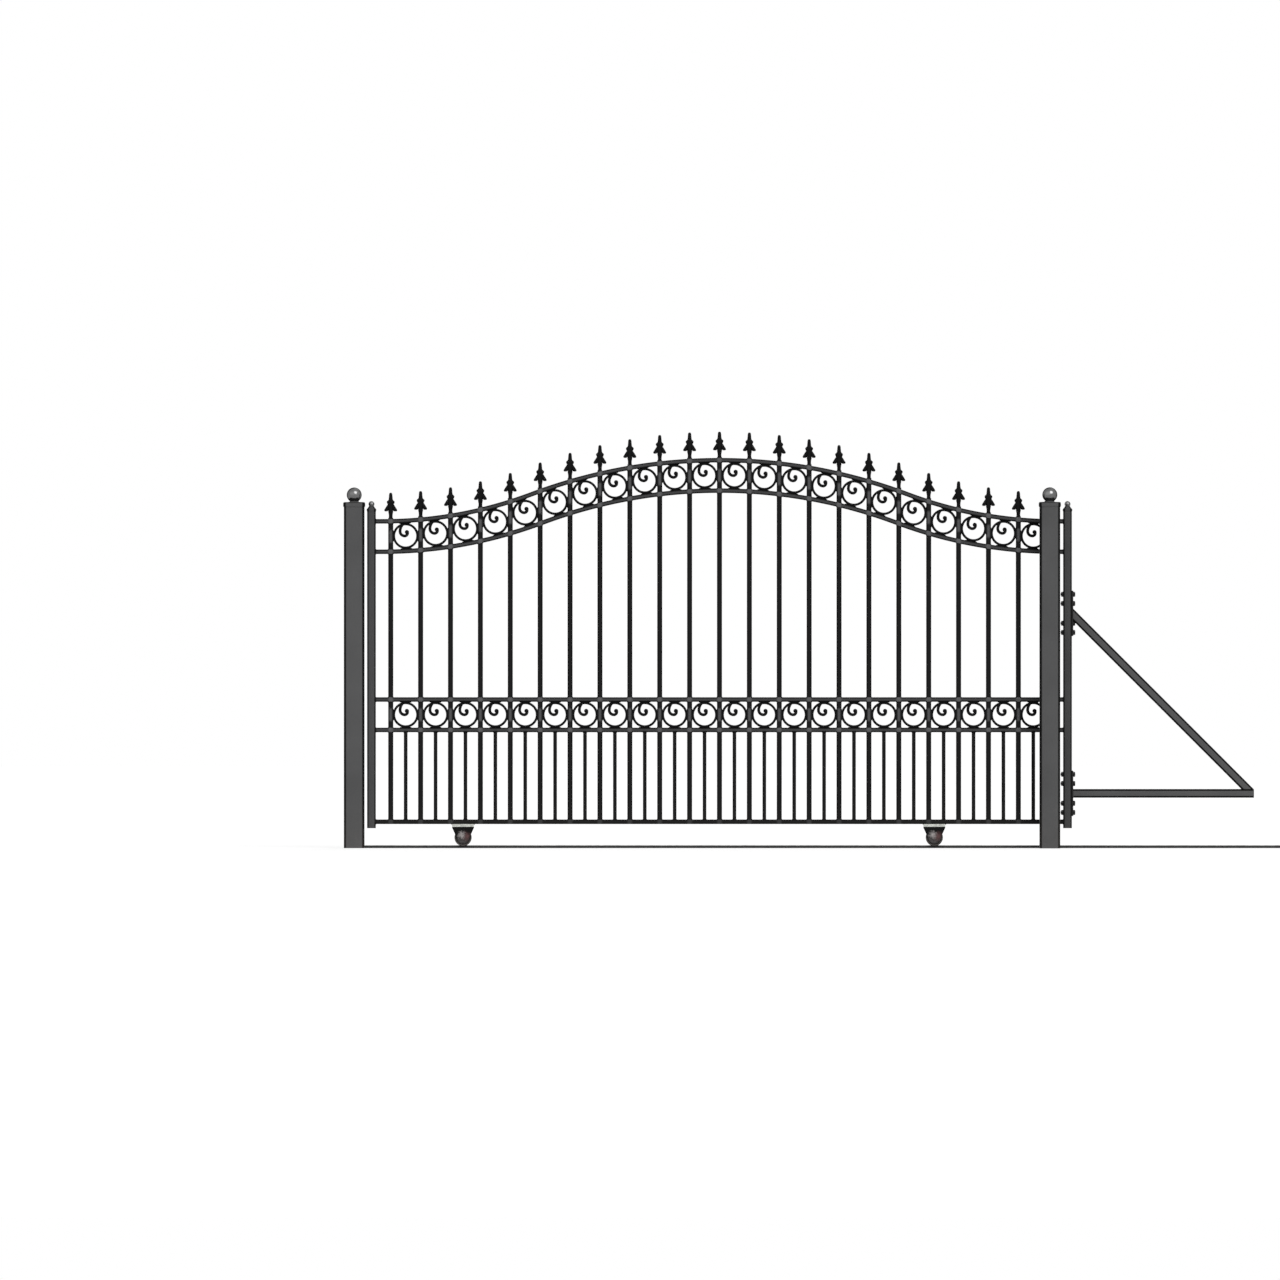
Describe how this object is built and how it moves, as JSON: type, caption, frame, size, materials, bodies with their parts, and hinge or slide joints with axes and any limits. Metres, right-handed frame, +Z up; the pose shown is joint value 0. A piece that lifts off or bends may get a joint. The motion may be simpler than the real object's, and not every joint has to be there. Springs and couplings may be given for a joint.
{
  "type": "sliding driveway gate",
  "caption": "Steel sliding gate with a bell-curved top, pickets, spear points and scroll rings, on grooved wheels and a ground track, with its posts and a tail frame.",
  "frame": {"origin": "middle of the left post's foot, on the ground, in the leaf's plane", "axes": "+X along the track, the way the leaf opens; +Z up; the road side is towards -Y"},
  "size_m": [5.644, 0.285, 1.8318],
  "materials": {
    "post_paint": "satin dark grey powder coat",
    "frame_paint": "satin charcoal powder coat",
    "picket_paint": "satin black powder coat",
    "ironwork": "black painted casting",
    "track_steel": "dark grey paint, worn bright on its crest",
    "galvanised": "dull zinc",
    "bracket_paint": "brownish black paint",
    "wheel_steel": "dark machined steel",
    "nylon": "black nylon"
  },
  "bodies": {
    "fixed_frame": {"left_post": "post_paint", "right_post": "post_paint", "post_caps": "post_paint", "track": "track_steel", "guide_upright": "post_paint", "guide_upright_cap": "post_paint", "guide_brackets": "bracket_paint", "guide_pins": "galvanised", "guide_rollers": "nylon"},
    "leaf": {"leading_stile": "frame_paint", "trailing_stile": "frame_paint", "stile_caps": "frame_paint", "pickets": "picket_paint", "dog_pickets": "picket_paint", "bottom_rail": "picket_paint", "lower_mid_rail": "picket_paint", "upper_mid_rail": "picket_paint", "lower_top_rail": "picket_paint", "upper_top_rail": "picket_paint", "lower_rings": "ironwork", "upper_rings": "ironwork", "spears": "ironwork", "roller_mount_plates": "galvanised", "roller_brackets": "bracket_paint", "roller_axles": "wheel_steel", "tail_lower_plate": "picket_paint", "tail_upper_plate": "picket_paint", "tail_bottom_tube": "frame_paint", "tail_diagonal": "frame_paint", "tail_end_cap": "nylon"},
    "front_roller": {"front_wheel": "wheel_steel"},
    "rear_roller": {"rear_wheel": "wheel_steel"}
  },
  "joints": [
    {"name": "gate_slide", "type": "slide", "parent": "fixed_frame", "child": "leaf", "axis": [1, 0, 0], "range_m": [0, 2.9335]},
    {"name": "front_wheel_spin", "type": "hinge", "parent": "leaf", "child": "front_roller", "pos_m": [0.479, 0, 0.04642], "axis": [0, 1, 0], "continuous": true},
    {"name": "rear_wheel_spin", "type": "hinge", "parent": "leaf", "child": "rear_roller", "pos_m": [2.5525, 0, 0.04642], "axis": [0, 1, 0], "continuous": true}
  ],
  "couplings": [
    {"joint": "front_wheel_spin", "follows": "gate_slide", "rad_per_m": 29.049},
    {"joint": "rear_wheel_spin", "follows": "gate_slide", "rad_per_m": 29.049}
  ]
}
